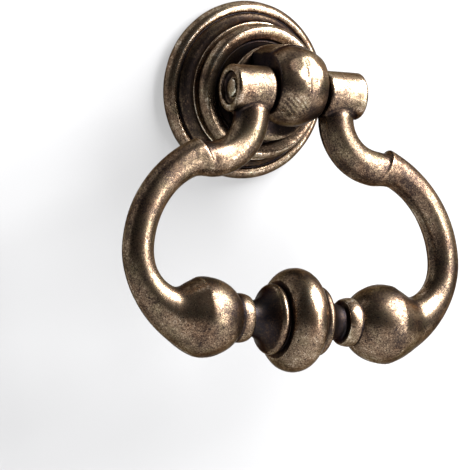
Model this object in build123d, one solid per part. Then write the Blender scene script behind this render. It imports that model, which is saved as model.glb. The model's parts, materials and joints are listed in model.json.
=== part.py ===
"""Drop-ring door knocker in cast brass, millimetres, +Z up, -Y toward whoever knocks.

Three stacked rose pieces are clamped to the back of a ball-ended knuckle post by a washer and a nut
inside the hollow rose. A bail hangs from the post on one riveted pin. The origin is the centre of the
rose's back face, which lies on the door in the plane y = 0. "height" is the distance off the door,
along -Y. The bail is drawn hanging plumb about its pin and is then swung out by rest_swing.
"""
from build123d import *
import math
import os

# Backplate, the outer casting of the rose
rose_radius = 17.7            # widest, a little off the door
rose_foot_radius = 16.8       # where it meets the door
foot_width = 2.4              # flat annulus that rests on the door
rim_crest_radius = 16.5
rim_height = 3.7
groove_radius = 15.4
groove_half_width = 0.25
groove_depth = 0.5
rim_slope = 0.1               # fall from the rim's crest to the groove's lips
cove_top_radius = 13.7
cove_height = 6.8             # top of the backplate, where the ring sits
cove_bow = 0.5                # how deep the cove is
hollow_depth = 4.9            # space behind the backplate for the washer and nut
hollow_radius = 10.8          # flat floor of the hollow
hollow_waist_radius = 13.2
hollow_waist_height = 3.0

# Middle ring
ring_radius = 13.4
ring_foot_radius = 12.5       # it is undercut down to this where it meets the backplate
ring_height = 10.3
ring_face_radius = 10.5       # inner edge of its sloping face
ring_face_drop = 0.5
ring_face_bow = 0.2
seat_depth = 1.35             # the boss sits this far below the ring's crest
seat_radius = 10.2

# Boss
boss_radius = 9.5
boss_foot_radius = 9.95
boss_height = 14.2
boss_waist = 0.6              # how far its side is hollowed
lip_height = 1.2
lip_undercut = 0.25
lip_round = 0.7
lip_bow = 0.45

# Knuckle post
knuckle_radius = 8.0
knuckle_height = 21.4         # centre of the ball off the door
knuckle_lift = 1.6            # centre of the ball above the rose's axis
cheek_gap = 10.6              # across the two flat cheeks
neck_drop = 4.4               # underside of the neck below the ball's centre
shank_radius = 4.0
stack_clearance = 0.1         # radial, between the shank and the pieces threaded over it
fixing_radius = 1.65          # M4 x 0.7 tapping size
fixing_depth = 12.5

# Washer and thin hexagon nut on the shank
washer_radius = 7.5
washer_thickness = 1.0
nut_across_flats = 13.0
nut_thickness = 2.9

# Hinge
pin_height = 22.65            # pin axis off the door
pin_lift = 0.5                # pin axis above the rose's axis
pin_radius = 1.75
pin_clearance = 0.05          # radial, in the knuckle only: the pin is tight in the barrels
barrel_radius = 4.65
barrel_inner = 5.95           # inner face of each barrel from the middle plane
barrel_outer = 14.3
barrel_edge = 0.6
recess_radius = 3.2           # sunk face round each rivet head
recess_depth = 0.9
head_depth = 0.1              # rivet head below the barrel's end
head_round = 0.7              # rounding of the rivet head's edge
rest_swing = 8.8              # the bail hangs this far outward of plumb, degrees

# Bail's arms: x across, drop downward from the pin axis
arm_radius = 3.1
elbow_radius = 12.5           # centre line of the lower corner
elbow_x = 21.2
elbow_drop = 32.2
shoulder_radius = 20.65       # centre line of the upper curve and the side
shoulder_start = 71.5         # degrees above level where the upper curve begins
side_angle = 4.0              # degrees above level where the two curves meet
tip_radius = 3.5              # bar at the upper curve's blunt end
tip_fade = 0.25               # share of the curve over which the tip thins to the bar
swell_start = 0.6             # share of the curve after which the bar swells
swell_power = 2.35
bulb_neck_radius = 7.2        # bar where it runs into the bulb
hook_radius = 9.45            # centre line of the short curve below each barrel
hook_x = 18.8
hook_drop = 4.6
hook_bar_radius = 3.5
hook_reach = 3.0              # straight end of the hook past its curve
end_rounding = 0.4            # softened rim where the two curves overlap

# Turned middle of the bail, from the middle plane outward
knob_drop = 44.4
knob_radius = 10.15
knob_half_width = 3.7
knob_edge_radius = 7.6
knob_bow = 0.7
groove_width = 0.15
knob_groove_radius = 6.2
flange_inner, flange_outer = 4.2, 5.8
flange_edge_radius = 6.55
flange_bow = 0.35
cavetto_end = 10.05
cavetto_radius = 3.3
cavetto_bow = 0.8
collar_inner, collar_outer = 10.4, 13.8
collar_edge_radius = 4.4
collar_bow = 0.4
collar_groove_width = 0.2
collar_groove_radius = 3.9
bulb_radius = 7.6
bulb_x = 19.2

block = 60.0                  # side of the blocks that trim a shape, larger than any piece
stack_bore = shank_radius + stack_clearance
boss_seat = ring_height - seat_depth


def bowed_edge(start, end, bow):
    """Edge of an outline, straight or bowed to the left of its direction."""
    if bow == 0:
        return Line(start, end)
    (a, b), (c, d) = start, end
    length = math.dist(start, end)
    middle = ((a + c) / 2 - bow * (d - b) / length, (b + d) / 2 + bow * (c - a) / length)
    return ThreePointArc(start, middle, end)


def outlined(entries):
    """Face inside a closed outline of (across, up, bow), the bow being that of the edge before it."""
    ends = [(across, up) for across, up, bow in entries]
    edges = [bowed_edge(ends[i - 1], ends[i], entries[i][2]) for i in range(len(entries))]
    return make_face(Wire(edges))


def turned(entries):
    """Revolve an outline of (radius, height, bow) about the rose's axis."""
    return Rot(180, 0, 0) * revolve(outlined(entries), Axis.Y)


def along_y(radius, start, end, lift=0.0):
    """A cylinder along the rose's axis between two heights off the door."""
    return Plane((0, -start, lift), z_dir=(0, -1, 0)) * extrude(Circle(radius), end - start)


def along_x(radius, start, end):
    """A cylinder along the pin's axis, in the pin's own frame."""
    return Plane((start, 0, 0), z_dir=(1, 0, 0)) * extrude(Circle(radius), end - start)


def backplate():
    """Rounded rim, fine groove and cove, hollow behind a flat foot."""
    lip_level = rim_height - rim_slope
    return turned([
        (rose_foot_radius, 0, 0),
        (rim_crest_radius, rim_height, (rose_foot_radius + rim_crest_radius) / 2 - rose_radius),
        (groove_radius + groove_half_width, lip_level, 0),
        (groove_radius, lip_level - groove_depth, 0),
        (groove_radius - groove_half_width, lip_level, 0),
        (cove_top_radius, cove_height, cove_bow),
        (stack_bore, cove_height, 0),
        (stack_bore, hollow_depth, 0),
        (hollow_radius, hollow_depth, 0),
        (hollow_waist_radius, hollow_waist_height, 0),
        (rose_foot_radius - foot_width, 0, 0),
    ])


def rose_ring():
    """Bulged middle ring with a sloping face and a sunk seat for the boss."""
    return turned([
        (ring_foot_radius, cove_height, 0),
        (ring_foot_radius, ring_height, ring_foot_radius - ring_radius),
        (ring_face_radius, ring_height - ring_face_drop, -ring_face_bow),
        (seat_radius, boss_seat, 0),
        (stack_bore, boss_seat, 0),
        (stack_bore, cove_height, 0),
    ])


def rose_boss():
    """Waisted boss with a rounded lip, on which the knuckle's neck sits."""
    return turned([
        (boss_foot_radius, boss_seat, 0),
        (boss_radius - lip_undercut, boss_height - lip_height, boss_waist),
        (boss_radius - lip_round, boss_height, -lip_bow),
        (stack_bore, boss_height, 0),
        (stack_bore, boss_seat, 0),
    ])


def knuckle_post():
    """Ball-ended finger with two flat cheeks, its shank tapped from behind for the fixing screw."""
    ball = Pos(0, -knuckle_height, knuckle_lift) * Rot(0, 90, 0) * Sphere(knuckle_radius)
    above = Box(block, block, block, align=(Align.CENTER, Align.CENTER, Align.MIN))
    neck = along_y(knuckle_radius, boss_height, knuckle_height, knuckle_lift)
    neck &= Pos(0, 0, knuckle_lift - neck_drop) * above
    front = Box(cheek_gap, block, block, align=(Align.CENTER, Align.MAX, Align.CENTER))
    head = (ball + neck) & Pos(0, -boss_height, 0) * front
    pin_hole = along_x(pin_radius + pin_clearance, -cheek_gap, cheek_gap)
    shank = along_y(shank_radius, 0, boss_height) - along_y(fixing_radius, 0, fixing_depth)
    return head + shank - Pos(0, -pin_height, pin_lift) * pin_hole


def shank_washer():
    """Plain washer against the inside of the backplate."""
    washer = along_y(washer_radius, hollow_depth - washer_thickness, hollow_depth)
    return washer - along_y(stack_bore, 0, hollow_depth)


def shank_nut():
    """Thin hexagon nut that clamps the rose pieces to the post."""
    back = hollow_depth - washer_thickness - nut_thickness
    hexagon = RegularPolygon(nut_across_flats / 2, 6, major_radius=False)
    nut = Plane((0, -back, 0), z_dir=(0, -1, 0)) * extrude(hexagon, nut_thickness)
    return nut - along_y(shank_radius, 0, hollow_depth)


def arc_point(centre, radius, degrees):
    """A point on a circle round (x, drop) in the bail's plane, the angle counted upward from level."""
    turn = math.radians(degrees)
    return (centre[0] + radius * math.cos(turn), 0, radius * math.sin(turn) - centre[1])


def arc_between(centre, radius, start, end):
    """The arc round (x, drop) from one angle to another."""
    return ThreePointArc(*[arc_point(centre, radius, a) for a in (start, (start + end) / 2, end)])


def side_curve():
    """Upper curve, side and lower corner of the right arm, as two tangent arcs."""
    back = shoulder_radius - elbow_radius
    turn = math.radians(side_angle)
    shoulder = (elbow_x - back * math.cos(turn), elbow_drop + back * math.sin(turn))
    upper = arc_between(shoulder, shoulder_radius, shoulder_start, side_angle)
    return Wire([upper, arc_between((elbow_x, elbow_drop), elbow_radius, side_angle, -90)])


def side_radius(fraction):
    """Bar radius along the side curve: a slightly thick tip, an even bar, then a swell into the bulb."""
    tip = (tip_radius - arm_radius) * max(0.0, 1 - fraction / tip_fade) ** 2
    swell = max(0.0, (fraction - swell_start) / (1 - swell_start)) ** swell_power
    return arm_radius + tip + (bulb_neck_radius - arm_radius) * swell


def hook_curve():
    """Short curve from under the barrel, turning outward to a level end."""
    curve = arc_between((hook_x, hook_drop), hook_radius, 180, 270)
    return Wire([curve, Line(curve @ 1, (hook_x + hook_reach, 0, -hook_drop - hook_radius))])


def round_bar(path, radius_at, stations):
    """A round bar lofted along a path, its radius given by the fraction of the path's length."""
    fractions = [i / (stations - 1) for i in range(stations)]
    return loft([Plane(path @ t, z_dir=path % t) * Circle(radius_at(t)) for t in fractions])


def softened_end(path, radius):
    """Short cone that softens the rim where a bar starts, pointing back along its path."""
    start = Plane(path @ 0, z_dir=path % 0)
    return loft([start.offset(-end_rounding) * Circle(radius - end_rounding), start * Circle(radius)])


def arm():
    """Right arm: hook and side curve, whose blunt ends overlap in a small step."""
    hook, side = hook_curve(), side_curve()
    return (round_bar(hook, lambda t: hook_bar_radius, 8) + round_bar(side, side_radius, 15)
            + softened_end(side, tip_radius))


def barrel():
    """Right barrel with softened edges."""
    body = along_x(barrel_radius, barrel_inner, barrel_outer)
    return fillet(body.edges().filter_by(GeomType.CIRCLE), barrel_edge)


def barrel_bore():
    """What is taken out of the right barrel: the pin's bore and the recess round its head."""
    recess = along_x(recess_radius, barrel_outer - recess_depth, barrel_outer + recess_depth)
    return along_x(pin_radius, 0, barrel_outer) + recess


def turned_middle():
    """Knob, flanges, coves and collars, the right half mirrored to the left."""
    right = revolve(outlined([
        (0, 0, 0),
        (0, knob_radius, 0),
        (knob_half_width, knob_edge_radius, knob_bow),
        (knob_half_width + groove_width, knob_groove_radius, 0),
        (flange_inner, flange_edge_radius, 0),
        (flange_outer, flange_edge_radius, flange_bow),
        (cavetto_end, cavetto_radius, -cavetto_bow),
        (collar_inner, collar_edge_radius, 0),
        (collar_outer, collar_edge_radius, collar_bow),
        (collar_outer + collar_groove_width, collar_groove_radius, 0),
        (bulb_x, collar_groove_radius, 0),
        (bulb_x, 0, 0),
    ]), Axis.X)
    return right + mirror(right, Plane.YZ)


def hung(piece):
    """Move a piece of the bail from the pin's own frame onto the post, swung out at rest."""
    return Pos(0, -pin_height, pin_lift) * Rot(-rest_swing, 0, 0) * piece


def bail():
    """One casting: two barrels, two arms, two bulbs and the turned middle."""
    right = arm() + barrel() + Pos(bulb_x, 0, -knob_drop) * Sphere(bulb_radius) - barrel_bore()
    return hung(right + mirror(right, Plane.YZ) + Pos(0, 0, -knob_drop) * turned_middle())


def hinge_pin():
    """Pin with rounded, riveted ends that stand in the barrels' recesses."""
    crown = barrel_outer - head_depth
    pin = along_x(pin_radius, -crown, crown)
    return hung(fillet(pin.edges().filter_by(GeomType.CIRCLE), head_round))


pieces = [backplate, rose_ring, rose_boss, knuckle_post, shank_washer, shank_nut, bail, hinge_pin]
os.makedirs("parts", exist_ok=True)
for piece in pieces:
    shape = piece()
    shape.label = piece.__name__
    export_step(shape, f"parts/{piece.__name__}.step")
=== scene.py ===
"""Looks of the drop-ring door knocker: three turned rose castings, a ball-ended knuckle post with
its washer and nut, and a cast bail on a riveted pin, in antique brass. Lengths are in metres."""

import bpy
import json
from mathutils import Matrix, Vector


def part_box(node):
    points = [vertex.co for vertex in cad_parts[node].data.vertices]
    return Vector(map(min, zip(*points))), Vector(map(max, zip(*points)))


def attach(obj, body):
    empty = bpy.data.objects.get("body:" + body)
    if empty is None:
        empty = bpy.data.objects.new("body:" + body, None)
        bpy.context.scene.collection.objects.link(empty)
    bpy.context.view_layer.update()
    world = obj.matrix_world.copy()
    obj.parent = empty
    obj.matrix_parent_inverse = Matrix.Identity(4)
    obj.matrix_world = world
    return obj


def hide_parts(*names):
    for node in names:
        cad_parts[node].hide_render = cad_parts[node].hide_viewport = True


bl_info = {
    "name": "Drop-ring door knocker",
    "version": (1, 0, 0),
    "blender": (4, 5, 0),
    "location": "3D View > Sidebar > Knocker",
    "description": "Builds the castings of a door knocker, their antique brass and a small studio",
    "category": "Object",
}

import json
import math

import bmesh
import bpy
import numpy as np
from mathutils import Matrix, Vector

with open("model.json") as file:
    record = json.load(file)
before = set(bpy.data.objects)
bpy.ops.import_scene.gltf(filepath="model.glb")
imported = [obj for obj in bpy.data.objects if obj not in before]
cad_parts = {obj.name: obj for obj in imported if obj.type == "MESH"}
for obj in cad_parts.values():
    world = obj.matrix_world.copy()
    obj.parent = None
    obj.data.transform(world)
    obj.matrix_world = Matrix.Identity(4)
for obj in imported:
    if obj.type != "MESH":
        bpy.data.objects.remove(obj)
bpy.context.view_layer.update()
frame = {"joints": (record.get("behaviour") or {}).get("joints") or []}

MM = 0.001

# Measured on the frame
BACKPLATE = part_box("backplate")
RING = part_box("rose_ring")
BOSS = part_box("rose_boss")
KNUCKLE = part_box("knuckle_post")
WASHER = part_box("shank_washer")
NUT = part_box("shank_nut")
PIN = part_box("hinge_pin")
PIN_AXIS = Vector(frame["joints"][0]["pos_m"])
PIN_RADIUS = (PIN[1].z - PIN[0].z) / 2
HEAD_END = PIN[1].x

# Directions from the ball's centre: filed flats on its front, and a patch of file marks
FACETS = ((-0.08, -0.93, 0.40), (0.22, -0.90, 0.44), (0.05, -0.80, 0.62),
          (-0.28, -0.80, 0.56), (0.10, -0.98, 0.14))
FILED = (-0.30, -0.80, -0.52)
ACROSS_MARKS = (0.65, 0.1, 0.75)    # the sine of the marks runs along this

# Relief runs from -1, full of patina, to 1, rubbed bright; on the knuckle's cheeks it is set low as
# painted shade. These change or limit it by place
BOSS_DARKER = 0.5                   # less on the whole boss
CHEEK_PAINTED_SHADE = -0.7                 # painted shade on the flat cheeks, which lie in the barrels' shadow
MARKS_RUB = 0.3                     # more and less across the file marks
PATCH_RUB = 0.25                    # more in their patch
LAP_LEAST = -0.25                   # at least this near the lap, where hands rub the step clean
RECESS_LEAST = -0.35                # at least this in the recess round a rivet head
WAIST_DARKER = 0.6                  # less between knob and collar
BAND_DARKER = 0.8                   # less where the collar meets the bulb
SEAM_RUB = 0.8                      # more on the crest of the mould line

# How near a point lies to count as on the cheek, in the recess, and off the barrel's end
ON_CHEEK = 0.12 * MM
IN_RECESS = 0.1 * MM
OFF_END = 0.2 * MM

# (reach, weight of hollows, weight of edges) of each step that solid_relief takes
RELIEF_STEPS = ((0.5 * MM, 1.8, 0.9), (1.3 * MM, 1.5, 0.4), (3.5 * MM, 0.7, 0))

# Cells of the skinned pieces, the room round them, and the box that holds the right arm
KNUCKLE_CELL = 0.26 * MM
NUT_CELL = 0.25 * MM
ARM_CELL = 0.31 * MM
MARGIN = Vector((0.6 * MM,) * 3)
ARM_BOX = np.array([(5.0, -9.0, -56.0), (38.0, 9.0, 6.0)]) * MM

# How far a skin's points go to the mean of their neighbours in each pass, before they are slid back
EVENING = (0, 0, 0.7, 0.7, 0.5, 0, 0)

# Name, direction from the aim point (right, up, back), reach, width, height and watts
LIGHTS = (
    ("key", (0.74, 0.63, 0.22), 0.70, 0.50, 0.50, 31.0),
    ("window", (0.88, 0.05, 0.42), 0.70, 0.22, 0.50, 6.0),
    ("table", (0.10, -0.72, 0.66), 0.60, 0.60, 0.24, 1.2),
)

# Lattice noise: values in its table each way, and how far the table is shifted, in cells
TABLE_SIZE = 32
TABLE_SHIFT = 7.3

# Unevenness of a casting: (weight, size, seed) of the lumps, then the pits and the mean's shift inward
LUMPS = ((0.6, 4.5 * MM, 3), (0.4, 1.9 * MM, 4))
LUMP_SHARE = 0.8
PIT_SIZE = 1.1 * MM
PIT_SEED = 5
PIT_START = 0.45
PIT_SHARE = 2.2
INWARD = 0.4

# Layer of the rub, its scale per metre, detail, roughness and distortion, and its weight
RUB_LAYERS = (
    ("drift", 110, 3, 0.5, 0.0, 0.5),
    ("blotch", 420, 6, 0.72, 0.4, 0.55),
    ("grain", 2900, 5, 0.7, 0.0, 0.8),
    ("speck", 7000, 2, 0.6, 0.0, 0.6),
)
RUB_BY_RELIEF = 0.30
RUB_BY_POCK = -0.35


def length(label, millimetres, description):
    """A length property whose default is given in millimetres."""
    return bpy.props.FloatProperty(
        name=label, description=description, default=millimetres * MM, min=0, unit="LENGTH", precision=5)


def degrees(label, value, description):
    """An angle property whose default is given in degrees."""
    return bpy.props.FloatProperty(
        name=label, description=description, default=math.radians(value), subtype="ANGLE")


def share(label, value, description):
    """A plain number from 0 to 1."""
    return bpy.props.FloatProperty(name=label, description=description, default=value, min=0, max=1)


def colour(label, value, description):
    """A colour property."""
    return bpy.props.FloatVectorProperty(
        name=label, description=description, default=value, size=3, min=0, max=1, subtype="COLOR")


class RoseSizes(bpy.types.PropertyGroup):
    """Sizes of the three turned castings."""
    foot_radius: length("Foot radius", 16.8, "Backplate where it meets the door")
    foot_width: length("Foot width", 2.4, "Flat annulus that rests on the door")
    crest_radius: length("Rim crest radius", 16.5, "Top of the backplate's rounded rim")
    rim_height: length("Rim height", 3.7, "Rim above the door")
    rim_slope: length("Rim slope", 0.1, "Fall from the rim's crest to the groove's lips")
    groove_radius: length("Groove radius", 15.4, "Fine groove inside the rim")
    groove_width: length("Groove width", 0.6, "Width of the fine groove")
    groove_depth: length("Groove depth", 0.55, "Depth of the fine groove")
    cove_top_radius: length("Cove top radius", 13.7, "Where the cove meets the ring")
    cove_bow: length("Cove bow", 0.5, "How deep the cove is")
    hollow_depth: length("Hollow depth", 4.9, "Space behind the backplate")
    hollow_radius: length("Hollow radius", 10.8, "Flat floor of the hollow")
    hollow_waist_radius: length("Hollow waist radius", 13.2, "Step in the hollow's side")
    hollow_waist_height: length("Hollow waist height", 3.0, "Height of that step")
    bore_radius: length("Bore radius", 4.1, "Hole for the post's shank")
    ring_foot_radius: length("Ring foot radius", 12.5, "Middle ring where it meets the backplate")
    ring_face_radius: length("Ring face radius", 10.5, "Inner edge of the ring's sloping face")
    ring_face_drop: length("Ring face drop", 0.5, "Fall of the ring's face")
    ring_face_bow: length("Ring face bow", 0.2, "How far the ring's face is hollowed")
    seat_depth: length("Seat depth", 1.35, "Boss seat below the ring's crest")
    seat_radius: length("Seat radius", 10.2, "Radius of that seat")
    boss_radius: length("Boss radius", 9.5, "Boss at its lip")
    boss_waist: length("Boss waist", 0.6, "How far the boss's side is hollowed")
    lip_height: length("Lip height", 1.2, "Height of the boss's rounded lip")
    lip_undercut: length("Lip undercut", 0.25, "How far the boss draws in under its lip")
    lip_round: length("Lip rounding", 0.7, "How far the lip draws in at its top")
    lip_bow: length("Lip bow", 0.45, "How far the lip bulges")


class KnuckleSizes(bpy.types.PropertyGroup):
    """Sizes of the ball-ended post."""
    ball_radius: length("Ball radius", 8.0, "Ball and neck")
    neck_drop: length("Neck drop", 4.4, "Underside of the neck below the ball's centre")
    neck_round: length("Neck rounding", 0.8, "Softened lower edges of the neck")
    foot_round: length("Foot rounding", 0.2, "Softened edge where the neck sits on the boss")
    shank_overlap: length("Shank overlap", 2.0, "How far the shank runs into the neck")
    shank_radius: length("Shank radius", 4.0, "Shank through the rose")
    fixing_radius: length("Fixing radius", 1.65, "Tapped hole for the fixing screw")
    fixing_depth: length("Fixing depth", 12.5, "Depth of the tapped hole")
    pin_gap: length("Pin gap", 0.05, "Radial clearance round the pin")
    cheek_round: length("Cheek rounding", 0.4, "Softened edge of each flat cheek")
    cast_blend: length("Cast blend", 0.8, "Fillet between ball and neck")
    facet_depth: length("Facet depth", 0.17, "How deep the filed flats on the ball are")
    facet_edge: length("Facet edge", 0.05, "Softened edges of those flats")
    file_reach: length("File reach", 3.4, "Radius of the patch of file marks")
    file_pitch: length("File pitch", 0.7, "From one file mark to the next")
    file_depth: length("File depth", 0.012, "Depth of the file marks")
    lump_size: length("Lump size", 2.6, "Size of the lumps left on the casting")
    lump_height: length("Lump height", 0.10, "Height of those lumps")
    shrink: length("Shrink", 0.12, "How far the surface lies in, so that lumps stay inside the true size")
    pin_margin: length("Pin margin", 0.5, "Clean surface round the pin's hole")
    fade: length("Fade", 1.0, "Over which the lumps fade in from cheeks and pin")


class BailSizes(bpy.types.PropertyGroup):
    """Sizes of the bail, drawn in its own plane below the pin."""
    rest_swing: degrees("Rest swing", 8.8, "How far the bail hangs outward of plumb")
    barrel_radius: length("Barrel radius", 4.65, "Barrels on the pin")
    barrel_inner: length("Barrel inner end", 5.95, "Inner face from the middle plane")
    barrel_outer: length("Barrel outer end", 14.3, "Outer face from the middle plane")
    barrel_round: length("Barrel rounding", 0.6, "Softened edges of the barrels")
    recess_radius: length("Recess radius", 3.2, "Sunk face round each rivet head")
    recess_depth: length("Recess depth", 0.9, "Depth of that face")
    recess_round: length("Recess rounding", 0.3, "Softened edge of that face")
    bore_round: length("Bore rounding", 0.15, "Softened edge of the pin's bore")
    head_dome: length("Head dome", 0.45, "Height of the rivet head's dome")
    head_bow: length("Head bow", 0.12, "How far the dome bulges")
    hook_radius: length("Hook curve", 9.45, "Centre line of the short curve under the barrel")
    hook_x: length("Hook curve across", 18.8, "Its centre from the middle plane")
    hook_drop: length("Hook curve drop", 4.6, "Its centre below the pin")
    end_round: length("End rounding", 0.5, "Softened end of the hook")
    hook_reach: length("Hook reach", 3.0, "Straight end past the curve")
    hook_bar: length("Hook bar radius", 3.5, "Bar of the hook")
    arm_bar: length("Arm bar radius", 3.1, "Bar of the side")
    tip_bar: length("Tip bar radius", 3.5, "Bar at the side's blunt upper end")
    neck_bar: length("Neck bar radius", 7.2, "Bar where it runs into the bulb")
    tip_fade: share("Tip fade", 0.25, "Share of the side over which the tip thins")
    swell_start: share("Swell start", 0.6, "Share of the side after which the bar swells")
    swell_power: bpy.props.FloatProperty(
        name="Swell power", description="How late the swell comes", default=2.35, min=1)
    elbow_curve: length("Elbow curve", 12.5, "Centre line of the lower corner")
    elbow_x: length("Elbow across", 21.2, "Its centre from the middle plane")
    elbow_drop: length("Elbow drop", 32.2, "Its centre below the pin")
    shoulder_curve: length("Shoulder curve", 20.65, "Centre line of the upper curve")
    shoulder_start: degrees("Shoulder start", 71.5, "Where the upper curve begins, above level")
    side_angle: degrees("Side angle", 4.0, "Where the two curves meet, above level")
    bulb_radius: length("Bulb radius", 7.6, "Ball at each end of the turned middle")
    bulb_x: length("Bulb across", 19.2, "Its centre from the middle plane")
    knob_drop: length("Knob drop", 44.4, "Axis of the turned middle below the pin")
    cast_blend: length("Cast blend", 1.6, "Fillet between bar and bulb")
    barrel_blend: length("Barrel blend", 0.45, "Fillet between barrel and hook")
    lap_blend: length("Lap blend", 1.2, "Fillet where the side laps over the hook")
    lap_run: length("Lap run", 2.0, "How far before the end of its curve the hook starts to thin")
    lap_thinning: length("Lap thinning", 0.9, "How much thinner the hook is at its end")
    lap_reach: length("Lap reach", 6.0, "How far round the lap the patina is rubbed off")
    lap_offset: length("Lap offset", 0.8, "Middle of the lap beyond the hook curve's centre")
    tip_setback: length("Tip setback", 0.6, "The side's blunt tip, back from its curve's end")
    tip_round: length("Tip rounding", 0.2, "Softened edge of that tip")
    seam_height: length("Seam height", 0.12, "Mould line along the middle plane")
    seam_width: length("Seam width", 0.22, "Half width of that line")
    shrink: length("Shrink", 0.03, "How far the surface lies in, to make room for the line")


class MiddleSizes(bpy.types.PropertyGroup):
    """Sizes of the bail's turned middle, from the middle plane outward."""
    knob_radius: length("Knob radius", 10.15, "Crest of the knob")
    knob_half_width: length("Knob half width", 3.7, "From the middle plane to the knob's side")
    knob_edge_radius: length("Knob edge radius", 7.6, "Knob at its side")
    knob_bow: length("Knob bow", 0.7, "How far the knob's profile bulges")
    knob_groove_width: length("Knob groove width", 0.15, "Groove beside the knob")
    knob_groove_radius: length("Knob groove radius", 6.2, "Bottom of that groove")
    flange_inner: length("Flange inner", 4.2, "Inner side of the flange")
    flange_outer: length("Flange outer", 5.8, "Outer side of the flange")
    flange_edge_radius: length("Flange radius", 6.55, "Flange at its sides")
    flange_bow: length("Flange bow", 0.35, "How far the flange bulges")
    cavetto_end: length("Cavetto end", 10.05, "Where the waisted part ends")
    cavetto_radius: length("Cavetto radius", 3.3, "Radius at that end")
    cavetto_bow: length("Cavetto bow", 0.8, "How far the waisted part is hollowed")
    collar_inner: length("Collar inner", 10.4, "Inner side of the collar")
    collar_outer: length("Collar outer", 13.8, "Outer side of the collar")
    collar_edge_radius: length("Collar radius", 4.4, "Collar at its sides")
    collar_bow: length("Collar bow", 0.4, "How far the collar bulges")
    collar_groove_width: length("Collar groove width", 0.2, "Groove beside the collar")
    collar_groove_radius: length("Collar groove radius", 3.9, "Bottom of that groove")
    half_width: length("Half width", 16.5, "End of the turned middle, inside the bulb")
    dark_band: length("Dark band", 1.0, "Patina left on the collar next to the bulb")


class FinishSizes(bpy.types.PropertyGroup):
    """Colours and surface of the metal."""
    patina: colour("Patina", (0.013, 0.0112, 0.0135), "Blue-black patina left in the hollows")
    brown: colour("Brown", (0.036, 0.0245, 0.019), "Brown tarnish between patina and metal")
    bronze: colour("Bronze", (0.20, 0.141, 0.092), "Thin tarnish over the metal")
    brass: colour("Brass", (0.80, 0.745, 0.65), "Bare metal on worn spots")
    steel: colour("Steel", (0.55, 0.55, 0.56), "Zinc-plated washer and nut")
    unevenness: length("Unevenness", 0.05, "Slow waves left by casting and filing")
    bail_share: share("Bail share", 0.6, "How much of that unevenness the bail has")
    rose_polish: share("Rose polish", 0.41, "How far the rose's patina is rubbed off")
    knuckle_polish: share("Knuckle polish", 0.42, "How far the knuckle's patina is rubbed off")
    bail_polish: share("Bail polish", 0.44, "How far the bail's patina is rubbed off")
    rivet_polish: share("Rivet polish", 0.55, "How far the rivet heads' patina is rubbed off")


class StudioSizes(bpy.types.PropertyGroup):
    """Camera, floor, door face and lights."""
    camera_azimuth: degrees("Camera azimuth", -27.9965, "Turn of the view about the vertical")
    camera_elevation: degrees("Camera elevation", 2.6465, "Height of the view above level")
    camera_roll: degrees("Camera roll", 4.3435, "Lean of the view")
    camera_distance: length("Camera distance", 800.66, "From the aim point to the camera")
    aim: bpy.props.FloatVectorProperty(
        name="Aim", description="Point that the camera looks at", size=3, subtype="XYZ", unit="LENGTH",
        default=(-4.8633 * MM, -12 * MM, -28.4151 * MM))
    lens: bpy.props.FloatProperty(
        name="Lens", description="Focal length in millimetres", default=312.42, min=1)
    floor_drop: length("Floor drop", 160, "Floor below the rose's axis")
    floor_reach: length("Floor reach", 2500, "From the floor's middle to its edges")
    floor_glow: share("Floor glow", 0.12, "Light that the floor gives by itself")
    door_width: length("Door half width", 600, "From the door face's middle to its sides")
    door_height: length("Door half height", 400, "From the door face's middle to its top")
    door_gap: length("Door gap", 0.1, "Door face behind the rose's back, so that the two don't flicker")
    door_glow: share("Door glow", 0.45, "Light that the door face gives by itself")
    mirrored_white: share("Mirrored white", 0.05, "How bright the white surroundings are in reflections")
    floor_paint: colour("Floor paint", (0.36, 0.36, 0.364), "Pale floor")
    door_paint: colour("Door paint", (0.15, 0.15, 0.153), "Door face, whose glow makes it white")


def smooth_min(a, b, blend):
    """The smaller of two distances, with a fillet where they are within blend of each other."""
    overlap = np.maximum(blend - np.abs(a - b), 0) / blend
    return np.minimum(a, b) - overlap * overlap * blend / 4


def smooth_max(a, b, blend):
    """The larger of two distances, with a softened edge where they are within blend of each other."""
    return -smooth_min(-a, -b, blend)


def lattice_noise(points, size, seed):
    """Smooth random lumps from -1 to 1: random values on a cubic lattice of that size, mixed between its
    corners by the curve 3t^2 - 2t^3 along each axis."""
    table = np.random.default_rng(seed).uniform(-1, 1, (TABLE_SIZE,) * 3)
    place = points / size + TABLE_SHIFT
    cell = np.floor(place).astype(int)
    t = place - cell
    t = t * t * (3 - 2 * t)
    total = np.zeros(len(points))
    for corner in np.ndindex(2, 2, 2):
        index = (cell + corner) % TABLE_SIZE
        weight = np.prod(np.where(corner, t, 1 - t), axis=1)
        total += weight * table[index[:, 0], index[:, 1], index[:, 2]]
    return total


def traced(corners, step):
    """Points in about equal steps along an outline. Each corner is (across, up, bow), and the edge that
    comes to it is straight, or a parabola whose middle stands bow to the left of the straight line."""
    runs = []
    for (a, b, _), (c, d, bow) in zip(corners[:-1], corners[1:]):
        run = math.hypot(c - a, d - b)
        t = np.linspace(0, 1, max(3, round(run / step)), endpoint=False)
        lift = bow * 4 * t * (1 - t) / run
        runs.append(np.stack([a + (c - a) * t - (d - b) * lift, b + (d - b) * t + (c - a) * lift], 1))
    return np.concatenate(runs)


def eased(points, reach, step, closed):
    """Rounds an outline's corners: each point becomes the bell-weighted mean of its neighbours. The ends
    of an open outline stay where they are."""
    count = max(1, round(3 * reach / step))
    offsets = np.arange(-count, count + 1)
    weights = np.exp(-0.5 * (offsets * step / reach) ** 2)
    weights /= weights.sum()
    if closed:
        padded = np.concatenate([points[-count:], points, points[:count]])
    else:
        head = 2 * points[0] - points[count:0:-1]
        tail = 2 * points[-1] - points[-2:-count - 2:-1]
        padded = np.concatenate([head, points, tail])
    return np.stack([np.convolve(padded[:, k], weights, "valid") for k in (0, 1)], 1)


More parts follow.
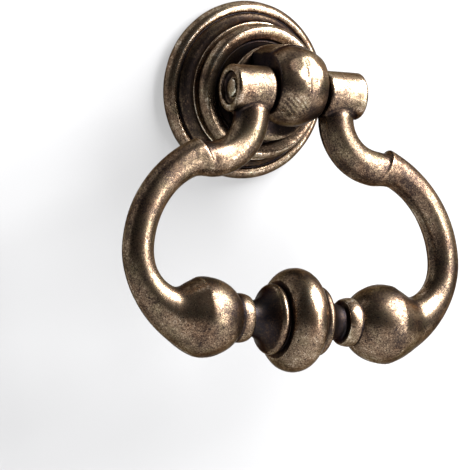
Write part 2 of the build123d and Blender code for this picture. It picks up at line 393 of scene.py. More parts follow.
def outline_relief(points, step, closed):
    """How far each outline point stands proud of its surroundings, from -1 in a hollow to 1 on an edge.
    It adds the distances to a slightly and to a widely eased copy of the outline, along the outward
    normal, and holds edges back to 0.6 of that."""
    along = np.roll(points, -1, 0) - np.roll(points, 1, 0)
    if not closed:
        along = np.gradient(points, axis=0)
    normal = np.stack([-along[:, 1], along[:, 0]], 1)
    normal /= np.linalg.norm(normal, axis=1)[:, None] + 1e-12
    if closed:
        x, y = points.T
        if np.sum(x * np.roll(y, -1) - y * np.roll(x, -1)) > 0:
            normal = -normal
    fine, wide = (np.sum((points - eased(points, reach * MM, step, closed)) * normal, 1)
                  for reach in (0.3, 0.9))
    proud = fine / (0.05 * MM) * 0.5 + np.clip(wide / (0.22 * MM) * 0.3, -0.1, 1)
    return np.clip(np.where(proud > 0, 0.6 * proud, proud), -1, 1)


def turned(corners, place, ease=0.16 * MM, step=0.12 * MM, around=220, closed=True):
    """A turned casting. The outline is carried round the axis: the surface point for outline point
    (a, b) and turn t is place(a, b, cos t, sin t). Returns points, faces and relief."""
    points = traced([*corners, corners[0]] if closed else corners, step)
    points = eased(points, ease, step, closed)
    relief = outline_relief(points, step, closed)
    turn = np.arange(around) * 2 * np.pi / around
    a, b = points[:, :1], points[:, 1:]
    surface = np.stack(np.broadcast_arrays(*place(a, b, np.cos(turn)[None], np.sin(turn)[None])), 2)
    rows = len(points)
    i, j = np.meshgrid(np.arange(rows if closed else rows - 1), np.arange(around), indexing="ij")
    here, there = i * around, (i + 1) % rows * around
    turned_on = (j + 1) % around
    faces = np.stack([here + j, there + j, there + turned_on, here + turned_on], 2).reshape(-1, 4)
    return surface.reshape(-1, 3), faces, np.repeat(relief, around)


def about_rose(a, b, cos, sin):
    """Outline (radius, height off the door) about the rose's axis."""
    return a * cos, -b + 0 * cos, a * sin


def about_level(drop):
    """Outline (across, radius) about a level axis that lies that far below the pin."""
    return lambda a, b, cos, sin: (a + 0 * cos, b * cos, b * sin - drop)


def slope(distance, points, reach=0.01 * MM):
    """Gradient of a distance by central differences."""
    sides = []
    for axis in np.eye(3):
        sides.append(distance(points + axis * reach) - distance(points - axis * reach))
    return np.stack(sides, 1) / (2 * reach)


def skin(distance, low, high, step):
    """The closed surface where a distance function is zero. Every lattice cell that the surface passes
    through gives one point, every lattice edge that it crosses gives one face between the four cells
    round that edge, and the points are evened out and slid down the gradient onto the surface."""
    axes = [np.arange(a, b + step, step) for a, b in zip(low, high)]
    lattice = np.stack(np.meshgrid(*axes, indexing="ij"), -1)
    shape = lattice.shape[:3]
    inside = distance(lattice.reshape(-1, 3)).reshape(shape) < 0
    count = sum(inside[tuple(slice(c, n - 1 + c) for c, n in zip(corner, shape))].astype(np.int8)
                for corner in np.ndindex(2, 2, 2))
    cut = (count > 0) & (count < 8)
    number = np.full(cut.shape, -1)
    number[cut] = np.arange(cut.sum())
    points = lattice[:-1, :-1, :-1][cut] + step / 2
    faces = []
    for axis in range(3):
        one, two = (axis + 1) % 3, (axis + 2) % 3
        first = np.take(inside, range(shape[axis] - 1), axis)
        second = np.take(inside, range(1, shape[axis]), axis)
        for crossed, order in ((first & ~second, (0, 1, 2, 3)), (~first & second, (3, 2, 1, 0))):
            cell = np.argwhere(crossed)
            round_edge = []
            for back_one, back_two in ((1, 1), (0, 1), (0, 0), (1, 0)):
                corner = cell.copy()
                corner[:, one] -= back_one
                corner[:, two] -= back_two
                round_edge.append(number[tuple(corner.T)])
            faces.append(np.stack([round_edge[k] for k in order], 1))
    faces = np.concatenate(faces)
    for even in EVENING:
        if even:
            total = np.zeros_like(points)
            seen = np.zeros(len(points))
            for k in range(4):
                for other in ((k + 1) % 4, (k + 3) % 4):
                    near = points[faces[:, other]]
                    for axis in range(3):
                        total[:, axis] += np.bincount(faces[:, k], near[:, axis], len(points))
                    seen += np.bincount(faces[:, k], minlength=len(points))
            points = points + even * (total / seen[:, None] - points)
        gradient = slope(distance, points)
        square = np.sum(gradient * gradient, 1) + 1e-9
        points = points - (distance(points) / square)[:, None] * gradient
    return points, faces


def solid_relief(distance, points):
    """How far a surface stands proud, from -1 to 1: near a hollow the distance a little outside is short
    of the step taken, and near an edge the depth a little inside is short of it."""
    normal = slope(distance, points)
    normal /= np.linalg.norm(normal, axis=1)[:, None] + 1e-9
    total = np.zeros(len(points))
    for reach, hollow, proud in RELIEF_STEPS:
        outside = distance(points + normal * reach) / reach - 1
        inside = 1 + distance(points - normal * reach) / reach
        total += hollow * outside + proud * inside
    return np.clip(total, -1, 1)


def make_piece(name, points, faces, relief, body, slot, nodes, material, wave=0.0):
    """Puts a surface into a mesh object: doubled points merged, faces outward, smooth shaded, with the
    relief as an attribute, parents it to its body and hides the CAD nodes it stands for. The slot is not
    used."""
    mesh = bpy.data.meshes.new(name)
    mesh.vertices.add(len(points))
    mesh.vertices.foreach_set("co", np.ascontiguousarray(points, np.float32).ravel())
    mesh.loops.add(faces.size)
    mesh.loops.foreach_set("vertex_index", faces.ravel().astype(np.int32))
    mesh.polygons.add(len(faces))
    mesh.polygons.foreach_set("loop_start", np.arange(0, faces.size, 4, dtype=np.int32))
    mesh.update(calc_edges=True)
    mesh.attributes.new("relief", "FLOAT", "POINT").data.foreach_set("value", relief.astype(np.float32))
    merged = bmesh.new()
    merged.from_mesh(mesh)
    bmesh.ops.remove_doubles(merged, verts=merged.verts, dist=1e-7)
    bmesh.ops.recalc_face_normals(merged, faces=merged.faces)
    merged.to_mesh(mesh)
    merged.free()
    if wave:
        uneven(mesh, wave)
    mesh.shade_smooth()
    mesh.materials.append(material)
    piece = bpy.data.objects.new(name, mesh)
    bpy.context.scene.collection.objects.link(piece)
    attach(piece, body)
    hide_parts(*nodes)


def uneven(mesh, wave):
    """Moves each point along its normal by slow lumps of two sizes and by shallow pits, where a finer
    noise passes its start. The mean moves inward, so that the casting keeps inside its true size."""
    count = len(mesh.vertices)
    points, normals = np.zeros(count * 3, np.float32), np.zeros(count * 3, np.float32)
    mesh.vertices.foreach_get("co", points)
    mesh.vertex_normals.foreach_get("vector", normals)
    points, normals = points.reshape(-1, 3).astype(float), normals.reshape(-1, 3)
    lumps = sum(weight * lattice_noise(points, size, seed) for weight, size, seed in LUMPS)
    pits = np.clip(lattice_noise(points, PIT_SIZE, PIT_SEED) - PIT_START, 0, 1) * PIT_SHARE
    points += normals * (wave * (LUMP_SHARE * lumps - pits - INWARD))[:, None]
    mesh.vertices.foreach_set("co", points.astype(np.float32).ravel())
    mesh.update()


def hung(points, swing):
    """Points of the bail's own plane (across, toward the viewer, up), hung on the pin and swung out."""
    x, w, up = points.T
    cos, sin = math.cos(swing), math.sin(swing)
    y, z = up * sin - w * cos, up * cos + w * sin
    return np.stack([x, y, z], 1) + PIN_AXIS


def arc_fraction(across, up, centre, radius, start, end):
    """Nearest point of an arc in the bail's plane: returns its fraction from start to end, and the
    distance to it in the plane."""
    middle, half = (start + end) / 2, abs(start - end) / 2
    turn = np.arctan2(up - centre[1], across - centre[0]) - middle
    turn = np.clip((turn + np.pi) % (2 * np.pi) - np.pi, -half, half)
    near = centre[0] + radius * np.cos(middle + turn), centre[1] + radius * np.sin(middle + turn)
    return (half - turn) / (2 * half), np.hypot(across - near[0], up - near[1])


def side_bar(points, bail):
    """Distance to the arm's side: a round bar along two tangent arcs, from the blunt shoulder tip to the
    bulb. Its radius is even, with a slightly thick tip and a swell like a power of the way along."""
    across, out, up = points.T
    angle = bail.side_angle
    back = bail.shoulder_curve - bail.elbow_curve
    elbow = bail.elbow_x, -bail.elbow_drop
    shoulder = elbow[0] - back * math.cos(angle), elbow[1] - back * math.sin(angle)
    upper = (bail.shoulder_start - angle) * bail.shoulder_curve
    lower = (angle + math.pi / 2) * bail.elbow_curve
    t_up, far_up = arc_fraction(across, up, shoulder, bail.shoulder_curve, bail.shoulder_start, angle)
    t_low, far_low = arc_fraction(across, up, elbow, bail.elbow_curve, angle, -math.pi / 2)
    on_upper = far_up < far_low
    fraction = np.where(on_upper, t_up * upper, upper + t_low * lower) / (upper + lower)
    tip = (bail.tip_bar - bail.arm_bar) * np.clip(1 - fraction / bail.tip_fade, 0, 1) ** 2
    way = np.clip((fraction - bail.swell_start) / (1 - bail.swell_start), 0, 1)
    radius = bail.arm_bar + tip + (bail.neck_bar - bail.arm_bar) * way ** bail.swell_power
    bar = np.hypot(np.where(on_upper, far_up, far_low), out) - radius
    start = bail.shoulder_start
    tip_plane = ((across - shoulder[0]) * -math.sin(start) + (up - shoulder[1]) * math.cos(start))
    near_tip = up > shoulder[1]
    return np.where(near_tip, smooth_max(bar, tip_plane + bail.tip_setback, bail.tip_round), bar)


def hook_bar(points, bail):
    """Distance to the hook: a round bar down from the barrel, round a quarter turn and level outward.
    It thins by the square of the way along its end, which is buried in the side."""
    across, out, up = points.T
    centre = bail.hook_x, -bail.hook_drop
    _, far = arc_fraction(across, up, centre, bail.hook_radius, math.pi, 1.5 * math.pi)
    end = bail.hook_x + bail.hook_reach
    straight = np.hypot(across - np.clip(across, bail.hook_x, end), up - centre[1] + bail.hook_radius)
    thin = np.clip((across - bail.hook_x + bail.lap_run) / (bail.hook_reach + bail.lap_run), 0, 1)
    bar = np.hypot(np.minimum(far, straight), out) - bail.hook_bar + bail.lap_thinning * thin ** 2
    return smooth_max(bar, across - end, bail.end_round)


def barrel(points, bail):
    """Distance to a barrel: a cylinder on the pin's axis with rounded edges."""
    across, out, up = points.T
    middle = (bail.barrel_outer + bail.barrel_inner) / 2
    half = (bail.barrel_outer - bail.barrel_inner) / 2
    radial = np.hypot(out, up) - bail.barrel_radius + bail.barrel_round
    axial = np.abs(across - middle) - half + bail.barrel_round
    outside = np.hypot(np.maximum(radial, 0), np.maximum(axial, 0))
    return np.minimum(np.maximum(radial, axial), 0) + outside - bail.barrel_round


def arm(points, bail):
    """Distance to the whole right arm: barrel, hook, side and bulb filleted together, less the pin's
    bore and the recess round its head."""
    across, out, up = points.T
    bulb = np.linalg.norm(points - (bail.bulb_x, 0, -bail.knob_drop), axis=1) - bail.bulb_radius
    side = smooth_min(side_bar(points, bail), bulb, bail.cast_blend)
    top = smooth_min(barrel(points, bail), hook_bar(points, bail), bail.barrel_blend)
    solid = smooth_min(side, top, bail.lap_blend)
    from_axis = np.hypot(out, up)
    recess = np.maximum(from_axis - bail.recess_radius, bail.barrel_outer - bail.recess_depth - across)
    solid = smooth_max(solid, -recess, bail.recess_round)
    return smooth_max(solid, PIN_RADIUS - from_axis, bail.bore_round)


def seam(points, out, bail):
    """Height of the mould line: a bell-shaped ridge on the middle plane that fades in and out."""
    patchy = np.clip(0.75 + 0.9 * lattice_noise(points, 5 * MM, 11), 0, 1)
    return bail.seam_height * np.exp(-(out / bail.seam_width) ** 2) * patchy


class KNOCKER_OT_rose(bpy.types.Operator):
    """Turn the backplate, the middle ring and the boss"""
    bl_idname = "knocker.rose"
    bl_label = "Rose castings"

    def execute(self, context):
        rose = context.scene.knocker_rose
        finish = context.scene.knocker_finish
        brass = antique_brass(finish, "antique_brass_rose", finish.rose_polish)
        cove_height, ring_height, boss_height = -BACKPLATE[0].y, -RING[0].y, -BOSS[0].y
        boss_seat = ring_height - rose.seat_depth
        lip = rose.rim_height - rose.rim_slope
        half_groove = rose.groove_width / 2
        backplate = [
            (rose.foot_radius, 0, 0),
            (rose.crest_radius, rose.rim_height,
             (rose.foot_radius + rose.crest_radius) / 2 - BACKPLATE[1].x),
            (rose.groove_radius + half_groove, lip, 0),
            (rose.groove_radius, lip - rose.groove_depth, 0),
            (rose.groove_radius - half_groove, lip, 0),
            (rose.cove_top_radius, cove_height, rose.cove_bow),
            (rose.bore_radius, cove_height, 0),
            (rose.bore_radius, rose.hollow_depth, 0),
            (rose.hollow_radius, rose.hollow_depth, 0),
            (rose.hollow_waist_radius, rose.hollow_waist_height, 0),
            (rose.foot_radius - rose.foot_width, 0, 0),
        ]
        ring = [
            (rose.ring_foot_radius, cove_height, 0),
            (rose.ring_foot_radius, ring_height, rose.ring_foot_radius - RING[1].x),
            (rose.ring_face_radius, ring_height - rose.ring_face_drop, -rose.ring_face_bow),
            (rose.seat_radius, boss_seat, 0),
            (rose.bore_radius, boss_seat, 0),
            (rose.bore_radius, cove_height, 0),
        ]
        boss = [
            (BOSS[1].x, boss_seat, 0),
            (rose.boss_radius - rose.lip_undercut, boss_height - rose.lip_height, rose.boss_waist),
            (rose.boss_radius - rose.lip_round, boss_height, -rose.lip_bow),
            (rose.bore_radius, boss_height, 0),
            (rose.bore_radius, boss_seat, 0),
        ]
        for name, corners, node in (("cast_backplate", backplate, "backplate"),
                                    ("cast_ring", ring, "rose_ring"), ("cast_boss", boss, "rose_boss")):
            points, faces, relief = turned(corners, about_rose)
            relief = np.clip(relief - BOSS_DARKER * (node == "rose_boss"), -1, 1)
            make_piece(name, points, faces, relief, "rose", "antique_brass", [node], brass,
                       finish.unevenness)
        return {"FINISHED"}


class KNOCKER_OT_knuckle(bpy.types.Operator):
    """Cast the ball-ended knuckle post"""
    bl_idname = "knocker.knuckle"
    bl_label = "Knuckle post"

    def execute(self, context):
        post = context.scene.knocker_knuckle
        finish = context.scene.knocker_finish
        centre = np.array([0, KNUCKLE[0].y + post.ball_radius, KNUCKLE[1].z - post.ball_radius])
        cheek, boss_height = KNUCKLE[1].x, -BOSS[0].y

        def distance(points):
            """Ball and flat-bottomed neck filleted together, cut by two cheeks, on a drilled shank."""
            x, y, z = points.T
            ball = np.linalg.norm(points - centre, axis=1) - post.ball_radius
            for facet in FACETS:
                flat = (points - centre) @ (np.array(facet) / np.linalg.norm(facet))
                ball = smooth_max(ball, flat - post.ball_radius + post.facet_depth, post.facet_edge)
            neck = np.hypot(x, z - centre[2]) - post.ball_radius
            neck = smooth_max(neck, centre[2] - post.neck_drop - z, post.neck_round)
            neck = np.maximum(neck, centre[1] - y)
            head = smooth_min(ball, neck, post.cast_blend)
            head = smooth_max(head, np.abs(x) - cheek, post.cheek_round)
            head = smooth_max(head, y + boss_height, post.foot_round)
            ends = np.maximum(y, -y - boss_height - post.shank_overlap)
            shank = np.maximum(np.hypot(x, z) - post.shank_radius, ends)
            solid = np.minimum(head, shank)
            fixing = np.maximum(np.hypot(x, z) - post.fixing_radius, -y - post.fixing_depth)
            pin_hole = np.hypot(y - PIN_AXIS.y, z - PIN_AXIS.z) - PIN_RADIUS - post.pin_gap
            return np.maximum(np.maximum(solid, -fixing), -pin_hole)

        points, faces = skin(distance, KNUCKLE[0] - MARGIN, KNUCKLE[1] + MARGIN, KNUCKLE_CELL)
        off_cheek = cheek - np.abs(points[:, 0])
        # The flat cheeks are held dark as painted shade, for the shadow that the barrels cast on them
        relief = np.where(off_cheek < ON_CHEEK, CHEEK_PAINTED_SHADE, solid_relief(distance, points))
        marks, patch = file_marks(points - centre, post)
        relief = np.clip(relief + MARKS_RUB * marks + PATCH_RUB * patch, -1, 1)
        off_pin = np.hypot(points[:, 1] - PIN_AXIS.y, points[:, 2] - PIN_AXIS.z) - PIN_RADIUS
        rough = np.clip(off_cheek / post.fade, 0, 1)
        rough *= np.clip((off_pin - post.pin_margin) / post.fade, 0, 1)
        lift = seam(points, points[:, 0], context.scene.knocker_bail) - post.shrink
        lift += post.lump_height * lattice_noise(points, post.lump_size, 21) + post.file_depth * marks
        points = points + slope(distance, points) * (lift * rough)[:, None]
        brass = antique_brass(finish, "antique_brass_knuckle", finish.knuckle_polish)
        make_piece("cast_knuckle", points, faces, relief, "rose", "antique_brass",
                   ["knuckle_post"], brass)
        return {"FINISHED"}


def file_marks(from_centre, post):
    """Marks of a file on the ball: a sine, faded in over the outer two fifths of the patch's radius.
    Returns it and whether each point lies in the patch."""
    middle = post.ball_radius * np.array(FILED)
    inside = np.clip(1 - np.linalg.norm(from_centre - middle, axis=1) / post.file_reach, 0, 1)
    marks = np.sin(from_centre @ np.array(ACROSS_MARKS) * 2 * np.pi / post.file_pitch)
    return marks * np.clip(inside * 2.5, 0, 1), inside > 0


class KNOCKER_OT_fixings(bpy.types.Operator):
    """Make the washer and the thin nut inside the rose"""
    bl_idname = "knocker.fixings"
    bl_label = "Washer and nut"

    def execute(self, context):
        rose, post = context.scene.knocker_rose, context.scene.knocker_knuckle
        steel = plated_steel(context.scene.knocker_finish)
        back, front = -WASHER[1].y, -WASHER[0].y
        washer = [(WASHER[1].x, back, 0), (WASHER[1].x, front, 0),
                  (rose.bore_radius, front, 0), (rose.bore_radius, back, 0)]
        make_piece("plated_washer", *turned(washer, about_rose, ease=0.08 * MM, around=120),
                   "rose", "plain_steel", ["shank_washer"], steel)
        middle = (NUT[0].y + NUT[1].y) / 2
        half = (NUT[1].y - NUT[0].y) / 2
        flat = min(NUT[1].x, NUT[1].z)
        edge = 0.2 * MM
        turns = np.radians([0, 60, 120]) + (0 if NUT[1].x < NUT[1].z else math.pi / 6)

        def distance(points):
            """Six flats and two faces, chamfered by a wide cone, less the thread's bore."""
            x, y, z = points.T
            from_axis = np.hypot(x, z)
            hexagon = np.max([np.abs(x * math.cos(t) + z * math.sin(t)) for t in turns], 0) - flat
            ends = np.abs(y - middle) - half
            cone = (ends + (from_axis - flat) * 0.5) * 0.9
            body = smooth_max(smooth_max(hexagon, ends, edge), cone, edge)
            return smooth_max(body, post.shank_radius - from_axis, edge)

        points, faces = skin(distance, NUT[0] - MARGIN, NUT[1] + MARGIN, NUT_CELL)
        relief = solid_relief(distance, points)
        make_piece("plated_nut", points, faces, relief, "rose", "plain_steel", ["shank_nut"], steel)
        return {"FINISHED"}


class KNOCKER_OT_bail(bpy.types.Operator):
    """Cast the bail: two arms with barrels and bulbs, and the turned middle"""
    bl_idname = "knocker.bail"
    bl_label = "Bail"

    def execute(self, context):
        bail = context.scene.knocker_bail
        finish = context.scene.knocker_finish

        def distance(points):
            """The right arm."""
            return arm(points, bail)

        points, faces = skin(distance, *ARM_BOX, ARM_CELL)
        x, out, up = points.T
        relief = solid_relief(distance, points)
        near_lap = np.hypot(x - bail.hook_x - bail.lap_offset, up + bail.hook_drop + bail.hook_radius)
        relief = np.where(near_lap < bail.lap_reach, np.maximum(relief, LAP_LEAST), relief)
        from_axis = np.hypot(out, up)
        sunk = from_axis < bail.recess_radius + IN_RECESS
        relief = np.where(sunk, np.maximum(relief, RECESS_LEAST), relief)
        clear = from_axis > bail.barrel_radius - OFF_END
        ridge = seam(points, out, bail) * clear
        relief = np.clip(relief + SEAM_RUB * ridge / bail.seam_height, -1, 1)
        right = points + slope(distance, points) * (ridge - bail.shrink * clear)[:, None]
        middle, middle_faces, middle_relief = turned_middle(bail, context.scene.knocker_middle)
        every = np.concatenate([right, right * (-1, 1, 1), middle])
        count = len(right)
        all_faces = np.concatenate([faces, faces[:, ::-1] + count, middle_faces + 2 * count])
        all_relief = np.concatenate([relief, relief, middle_relief])
        brass = antique_brass(finish, "antique_brass_bail", finish.bail_polish)
        make_piece("cast_bail", hung(every, bail.rest_swing), all_faces, all_relief,
                   "bail", "antique_brass", ["bail"], brass, finish.unevenness * finish.bail_share)
        return {"FINISHED"}


def turned_middle(bail, sizes):
    """Knob, flanges, coves and collars between the bulbs, turned about a level axis. The left half of
    the outline is the right half mirrored."""
    right = [
        (0, sizes.knob_radius, 0),
        (sizes.knob_half_width, sizes.knob_edge_radius, sizes.knob_bow),
        (sizes.knob_half_width + sizes.knob_groove_width, sizes.knob_groove_radius, 0),
        (sizes.flange_inner, sizes.flange_edge_radius, 0),
        (sizes.flange_outer, sizes.flange_edge_radius, sizes.flange_bow),
        (sizes.cavetto_end, sizes.cavetto_radius, -sizes.cavetto_bow),
        (sizes.collar_inner, sizes.collar_edge_radius, 0),
        (sizes.collar_outer, sizes.collar_edge_radius, sizes.collar_bow),
        (sizes.collar_outer + sizes.collar_groove_width, sizes.collar_groove_radius, 0),
        (sizes.half_width, sizes.collar_groove_radius, 0),
        (sizes.half_width, 0, 0),
    ]
    ends = right[::-1]
    left = [(-across, up, bow) for (across, up, _), (_, _, bow) in zip(ends[1:], ends)]
    corners = [(-sizes.half_width, 0, 0)] + left + right[1:]
    points, faces, relief = turned(corners, about_level(bail.knob_drop), ease=0.13 * MM,
                                   step=0.16 * MM, around=84, closed=False)
    across = np.abs(points[:, 0])
    relief -= WAIST_DARKER * ((across > sizes.knob_half_width) & (across < sizes.collar_inner))
    relief -= BAND_DARKER * (across > sizes.collar_outer - sizes.dark_band)
    return points, faces, np.clip(relief, -1, 1)


class KNOCKER_OT_pin(bpy.types.Operator):
    """Turn the hinge pin with its riveted heads"""
    bl_idname = "knocker.pin"
    bl_label = "Hinge pin"

    def execute(self, context):
        finish = context.scene.knocker_finish
        bail = context.scene.knocker_bail
        dome, bow = bail.head_dome, bail.head_bow
        corners = [(-HEAD_END, 0, 0), (dome - HEAD_END, PIN_RADIUS, bow),
                   (HEAD_END - dome, PIN_RADIUS, 0), (HEAD_END, 0, bow)]
        points, faces, relief = turned(corners, about_level(0), around=96, closed=False)
        brass = antique_brass(finish, "antique_brass_rivet", finish.rivet_polish)
        make_piece("rivet_pin", hung(points, bail.rest_swing), faces, relief, "bail",
                   "antique_brass_pin", ["hinge_pin"], brass)
        return {"FINISHED"}


class Nodes:
    """A short way to add shader nodes and join them."""

    def __init__(self, material):
        material.use_nodes = True
        self.tree = material.node_tree
        self.shader = next(n for n in self.tree.nodes if n.type == "BSDF_PRINCIPLED")

    def add(self, kind, inputs=None, **settings):
        """A new node with its settings, and with each named input set or joined."""
        node = self.tree.nodes.new(kind)
        for key, value in settings.items():
            setattr(node, key, value)
        for key, value in (inputs or {}).items():
            self.join(node.inputs[key], value)
        return node

    def join(self, socket, value):
        """Joins an output to a socket, or sets the socket's own value."""
        if isinstance(value, bpy.types.NodeSocket):
            self.tree.links.new(value, socket)
        else:
            socket.default_value = value

    def sum(self, first, second, factor):
        """first plus second times factor."""
        node = self.add("ShaderNodeMath", {0: second, 1: factor, 2: first}, operation="MULTIPLY_ADD")
        return node.outputs[0]

    def noise(self, where, scale, detail, roughness, **inputs):
        """Fractal noise, its values spread about 0.5."""
        node = self.add("ShaderNodeTexNoise", {"Vector": where, "Scale": scale, "Detail": detail,
                                               "Roughness": roughness, **inputs})
        return node.outputs[0]

    def spread(self, value, low, high, to_low=0.0, to_high=1.0):
        """Maps low..high smoothly to to_low..to_high."""
        node = self.add("ShaderNodeMapRange", {"Value": value, "From Min": low, "From Max": high,
                                               "To Min": to_low, "To Max": to_high},
                        interpolation_type="SMOOTHSTEP")
        return node.outputs[0]

    def ramp(self, value, stops):
        """Colour ramp from (place, colour) stops."""
        node = self.add("ShaderNodeValToRGB", {"Fac": value})
        elements = node.color_ramp.elements
        while len(elements) < len(stops):
            elements.new(0.5)
        for element, (place, rgb) in zip(elements, stops):
            element.position = place
            element.color = (*rgb, 1)
        return node.outputs[0]


def antique_brass(finish, name, polish):
    """Cast brass under a dark patina, rubbed bright on what stands proud. The rub is the polish plus
    the relief and noise at four sizes: drifts, ragged blotches, grain and specks, less small pocks. It
    sets colour and gloss."""
    material = bpy.data.materials.new(name)
    nodes = Nodes(material)
    where = nodes.add("ShaderNodeTexCoord").outputs["Object"]
    # On the knuckle's flat cheeks the relief holds painted shade rather than patina
    relief = nodes.add("ShaderNodeAttribute", attribute_name="relief").outputs["Fac"]
    rub = nodes.sum(polish, relief, RUB_BY_RELIEF)
    noises = {}
    for layer, scale, detail, roughness, distortion, weight in RUB_LAYERS:
        noise = nodes.noise(where, scale, detail, roughness, Distortion=distortion)
        centred = nodes.add("ShaderNodeMath", {0: noise, 1: 0.5}, operation="SUBTRACT").outputs[0]
        rub = nodes.sum(rub, centred, weight)
        noises[layer] = noise
    pock = nodes.spread(nodes.noise(where, 2200, 2, 0.5), 0.65, 0.72)
    rub = nodes.sum(rub, pock, RUB_BY_POCK)
    tone = nodes.ramp(rub, [(0.12, finish.patina), (0.36, finish.brown), (0.60, finish.bronze),
                            (0.95, finish.brass)])
    hue = nodes.noise(where, 240, 4, 0.6)
    tint = nodes.ramp(hue, [(0.30, (1.0, 0.86, 0.80)), (0.5, (1, 1, 1)), (0.70, (0.90, 1.0, 0.90))])
    tinted = nodes.add("ShaderNodeMix", {"Factor": 0.75}, data_type="RGBA", blend_type="MULTIPLY")
    nodes.join(tinted.inputs["A"], tone)
    nodes.join(tinted.inputs["B"], tint)
    gloss = nodes.spread(rub, 0.15, 0.85, 0.41, 0.18)
    bump = nodes.add("ShaderNodeBump", {"Strength": 0.8, "Distance": 0.014 * MM,
                                        "Height": noises["grain"]})
    pits = nodes.spread(noises["blotch"], 0.32, 0.48)
    bump = nodes.add("ShaderNodeBump", {"Strength": 0.5, "Distance": 0.03 * MM, "Height": pits,
                                        "Normal": bump.outputs[0]})
    nodes.join(nodes.shader.inputs["Base Color"], tinted.outputs["Result"])
    nodes.join(nodes.shader.inputs["Roughness"], gloss)
    nodes.join(nodes.shader.inputs["Normal"], bump.outputs[0])
    nodes.shader.inputs["Metallic"].default_value = 1.0
    nodes.shader.inputs["Specular Tint"].default_value = (0.42, 0.39, 0.36, 1)
    return material


def plated_steel(finish):
    """Zinc-plated steel with faint streaks and dull spots."""
    material = bpy.data.materials.new("plated_steel")
    nodes = Nodes(material)
    where = nodes.add("ShaderNodeTexCoord").outputs["Object"]
    cloud = nodes.noise(where, 600, 5, 0.6)
    grain = nodes.noise(where, 3500, 3, 0.6)
    dull = tuple(c * 0.6 for c in finish.steel)
    tone = nodes.ramp(cloud, [(0.35, dull), (0.62, finish.steel)])
    nodes.join(nodes.shader.inputs["Base Color"], tone)
    nodes.join(nodes.shader.inputs["Roughness"], nodes.spread(cloud, 0.3, 0.7, 0.45, 0.28))
    bump = nodes.add("ShaderNodeBump", {"Strength": 0.4, "Distance": 0.02 * MM, "Height": grain})
    nodes.join(nodes.shader.inputs["Normal"], bump.outputs[0])
    nodes.shader.inputs["Metallic"].default_value = 1.0
    return material


def pale_paint(paint, name, glow, one_sided):
    """Matt pale paint with a faint cloudiness and glow. One-sided, it is clear from behind."""
    material = bpy.data.materials.new(name)
    nodes = Nodes(material)
    where = nodes.add("ShaderNodeTexCoord").outputs["Object"]
    cloud = nodes.noise(where, 9, 3, 0.5)
    light = tuple(min(1.0, c * 1.02) for c in paint)
    nodes.join(nodes.shader.inputs["Base Color"], nodes.ramp(cloud, [(0.3, paint), (0.7, light)]))
    nodes.shader.inputs["Roughness"].default_value = 0.9
    nodes.shader.inputs["Specular IOR Level"].default_value = 0.1
    nodes.shader.inputs["Emission Color"].default_value = (1, 1, 1, 1)
    nodes.shader.inputs["Emission Strength"].default_value = glow
    if one_sided:
        behind = nodes.add("ShaderNodeNewGeometry").outputs["Backfacing"]
        front = nodes.spread(behind, 0, 1, 1, 0)
        nodes.join(nodes.shader.inputs["Alpha"], front)
    return material


def soft_light(name, place, aim, width, height, watts):
    """A rectangular soft light aimed at a point."""
    data = bpy.data.lights.new(name, "AREA")
    data.shape = "RECTANGLE"
    data.size, data.size_y = width, height
    data.energy = watts
    lamp = bpy.data.objects.new(name, data)
    lamp.location = place
    lamp.rotation_euler = (Vector(aim) - Vector(place)).to_track_quat("-Z", "Y").to_euler()
    bpy.context.scene.collection.objects.link(lamp)


def sheet(name, centre, one, two, material):
    """A flat stage sheet: centre plus u times one plus v times two, u and v from -1 to 1."""
    corners = np.array([(-1, -1), (1, -1), (1, 1), (-1, 1)])
    points = np.array(centre) + corners[:, :1] * np.array(one) + corners[:, 1:] * np.array(two)
    mesh = bpy.data.meshes.new(name)
    mesh.from_pydata(points.tolist(), [], [(0, 1, 2, 3)])
    mesh.materials.append(material)
    piece = bpy.data.objects.new(name, mesh)
    bpy.context.scene.collection.objects.link(piece)


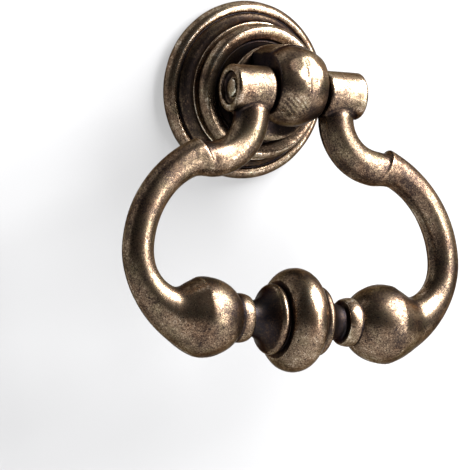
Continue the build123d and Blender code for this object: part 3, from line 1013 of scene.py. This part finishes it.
class KNOCKER_OT_studio(bpy.types.Operator):
    """Set the floor, the door face, the lights and the camera"""
    bl_idname = "knocker.studio"
    bl_label = "Studio"

    def execute(self, context):
        studio = context.scene.knocker_studio
        floor_paint = pale_paint(tuple(studio.floor_paint), "pale_floor", studio.floor_glow, False)
        door_paint = pale_paint(tuple(studio.door_paint), "pale_door", studio.door_glow, True)
        reach = studio.floor_reach
        sheet("floor", (0, 0, -studio.floor_drop), (reach, 0, 0), (0, reach, 0), floor_paint)
        sheet("door_face", (0, studio.door_gap, 0), (studio.door_width, 0, 0),
              (0, 0, studio.door_height), door_paint)
        self.world(context, studio)
        aim = Vector(studio.aim)
        right, up, back = self.camera(context, studio, aim)
        for name, direction, reach, width, height, watts in LIGHTS:
            place = aim + reach * (direction[0] * right + direction[1] * up + direction[2] * back)
            soft_light(name, place, aim, width, height, watts)
        return {"FINISHED"}

    def world(self, context, studio):
        """White where the camera sees it, and dimmer in reflections."""
        world = bpy.data.worlds.new("studio_world")
        context.scene.world = world
        world.use_nodes = True
        tree = world.node_tree
        background = next(n for n in tree.nodes if n.type == "BACKGROUND")
        path = tree.nodes.new("ShaderNodeLightPath")
        strength = tree.nodes.new("ShaderNodeMapRange")
        strength.inputs["To Min"].default_value = studio.mirrored_white
        strength.inputs["To Max"].default_value = 1.0
        tree.links.new(path.outputs["Is Camera Ray"], strength.inputs["Value"])
        tree.links.new(strength.outputs[0], background.inputs["Strength"])
        background.inputs["Color"].default_value = (1, 1, 1, 1)

    def camera(self, context, studio, aim):
        """A long lens at its azimuth and elevation round the aim point, leaned by the roll. Returns the
        directions to its right, up and back toward it."""
        az, el, roll = studio.camera_azimuth, studio.camera_elevation, studio.camera_roll
        back = Vector((math.sin(az) * math.cos(el), -math.cos(az) * math.cos(el), math.sin(el)))
        level = Vector((math.cos(az), math.sin(az), 0))
        upright = back.cross(level)
        right = math.cos(roll) * level + math.sin(roll) * upright
        up = math.cos(roll) * upright - math.sin(roll) * level
        data = bpy.data.cameras.new("camera")
        data.lens = studio.lens
        data.sensor_width = 36
        data.clip_start, data.clip_end = 0.01, 20
        camera = bpy.data.objects.new("camera", data)
        turn = Matrix((right, up, back)).transposed().to_4x4()
        camera.matrix_world = Matrix.Translation(aim + back * studio.camera_distance) @ turn
        context.scene.collection.objects.link(camera)
        context.scene.camera = camera
        context.scene.view_settings.view_transform = "Standard"
        return right, up, back


class KNOCKER_PT_panel(bpy.types.Panel):
    """The knocker's operators, in the order in which they run"""
    bl_idname = "KNOCKER_PT_panel"
    bl_label = "Door knocker"
    bl_space_type = "VIEW_3D"
    bl_region_type = "UI"
    bl_category = "Knocker"

    def draw(self, context):
        for step in STEPS:
            self.layout.operator(step.bl_idname)
        for name in GROUPS:
            box = self.layout.box()
            group = getattr(context.scene, name)
            for key in group.__annotations__:
                box.prop(group, key)


GROUPS = {
    "knocker_rose": RoseSizes,
    "knocker_knuckle": KnuckleSizes,
    "knocker_bail": BailSizes,
    "knocker_middle": MiddleSizes,
    "knocker_finish": FinishSizes,
    "knocker_studio": StudioSizes,
}
STEPS = (KNOCKER_OT_rose, KNOCKER_OT_knuckle, KNOCKER_OT_fixings, KNOCKER_OT_bail, KNOCKER_OT_pin,
         KNOCKER_OT_studio)
CLASSES = (*GROUPS.values(), *STEPS, KNOCKER_PT_panel)


def register():
    for cls in CLASSES:
        bpy.utils.register_class(cls)
    for name, group in GROUPS.items():
        setattr(bpy.types.Scene, name, bpy.props.PointerProperty(type=group))


def unregister():
    for name in GROUPS:
        delattr(bpy.types.Scene, name)
    for cls in reversed(CLASSES):
        bpy.utils.unregister_class(cls)


def main():
    """Builds every piece and the studio."""
    register()
    for step in STEPS:
        getattr(bpy.ops.knocker, step.bl_idname.split(".")[1])()


if __name__ == "__main__":
    main()
